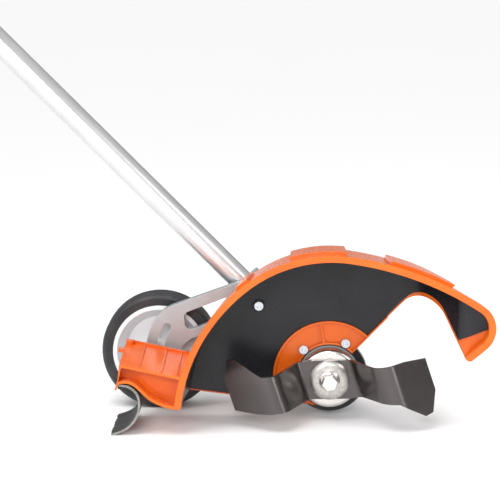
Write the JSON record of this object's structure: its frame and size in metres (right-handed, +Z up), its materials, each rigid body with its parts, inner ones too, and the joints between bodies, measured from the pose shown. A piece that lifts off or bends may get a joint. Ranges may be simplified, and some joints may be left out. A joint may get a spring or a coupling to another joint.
{
  "type": "lawn edger head",
  "caption": "Lawn edger attachment: angled drive tube, gearbox, bent blade under an orange guard, adjustable support wheel and rubber flap.",
  "frame": {"origin": "centre of the drive tube's upper (coupling) end face", "axes": "+X the way the machine is pushed, -Y the blade side, +Z up; the drive tube runs down and forward at 45 degrees"},
  "size_m": [0.7276, 0.1516, 0.6075],
  "materials": {
    "tube_aluminium": "satin drawn",
    "mark_paint": "painted",
    "bush_plastic": "matte",
    "cast_aluminium": "satin cast",
    "zinc_screws": "zinc plated",
    "bearing_steel": "ground",
    "spring_steel": "blued",
    "seal_rubber": "matte",
    "black_steel": "black coated",
    "guard_plastic": "glossy moulded",
    "liner_plastic": "semi-gloss moulded",
    "flap_rubber": "fabric laminated",
    "shaft_steel": "ground",
    "gear_steel": "case hardened",
    "plated_steel": "plated",
    "blade_steel": "dark coated",
    "washer_steel": "blasted",
    "yellow_zinc": "yellow zinc",
    "hub_plastic": "moulded white-grey",
    "tyre_rubber": "moulded rubber"
  },
  "bodies": {
    "head": {"drive_tube": "tube_aluminium", "insertion_mark": "mark_paint", "tube_bushings": "bush_plastic", "gearbox_housing": "cast_aluminium", "gearbox_clamp_screws": "zinc_screws", "grease_plug": "zinc_screws", "pinion_bearing_outer": "bearing_steel", "pinion_circlip": "spring_steel", "front_bearing_outer": "bearing_steel", "rear_bearing_outer": "bearing_steel", "front_circlip": "spring_steel", "shaft_seal": "seal_rubber", "wrap_collar": "black_steel", "guard_shell": "guard_plastic", "guard_liner": "liner_plastic", "guard_screws": "zinc_screws", "liner_screw": "zinc_screws", "wheel_bracket": "cast_aluminium", "bracket_clamp_cap": "cast_aluminium", "bracket_screws": "zinc_screws", "debris_flap": "flap_rubber", "flap_strip": "black_steel", "flap_screws": "zinc_screws"},
    "drive_line": {"drive_shaft": "shaft_steel", "pinion_gear": "gear_steel", "pinion_bearing_inner": "bearing_steel", "pinion_bearing_balls": "bearing_steel"},
    "blade_set": {"output_shaft": "shaft_steel", "output_gear": "gear_steel", "front_bearing_inner": "bearing_steel", "front_bearing_balls": "bearing_steel", "rear_bearing_inner": "bearing_steel", "rear_bearing_balls": "bearing_steel", "thrust_plate": "plated_steel", "blade": "blade_steel", "blade_washer": "washer_steel", "blade_bolt": "plated_steel"},
    "axle": {"axle_bolt": "zinc_screws", "axle_nut": "yellow_zinc", "axle_washers": "yellow_zinc", "axle_spacer": "zinc_screws"},
    "wheel": {"wheel_hub": "hub_plastic", "tyre": "tyre_rubber", "wheel_bushes": "bush_plastic"}
  },
  "joints": [
    {"name": "blade_spin", "type": "hinge", "parent": "head", "child": "blade_set", "pos_m": [0.55154, -0.039, -0.55154], "axis": [0, 1, 0], "continuous": true},
    {"name": "shaft_spin", "type": "hinge", "parent": "head", "child": "drive_line", "pos_m": [0, 0, 0], "axis": [0.7071, 0, -0.7071], "continuous": true},
    {"name": "wheel_height", "type": "hinge", "parent": "head", "child": "axle", "pos_m": [0.47594, -0.039, -0.55064], "axis": [0, 1, 0], "range_deg": [-3, 17]},
    {"name": "wheel_spin", "type": "hinge", "parent": "axle", "child": "wheel", "pos_m": [0.36724, -0.039, -0.53394], "axis": [0, 1, 0], "continuous": true}
  ],
  "couplings": [
    {"joint": "shaft_spin", "follows": "blade_spin", "ratio": -1.4615}
  ]
}
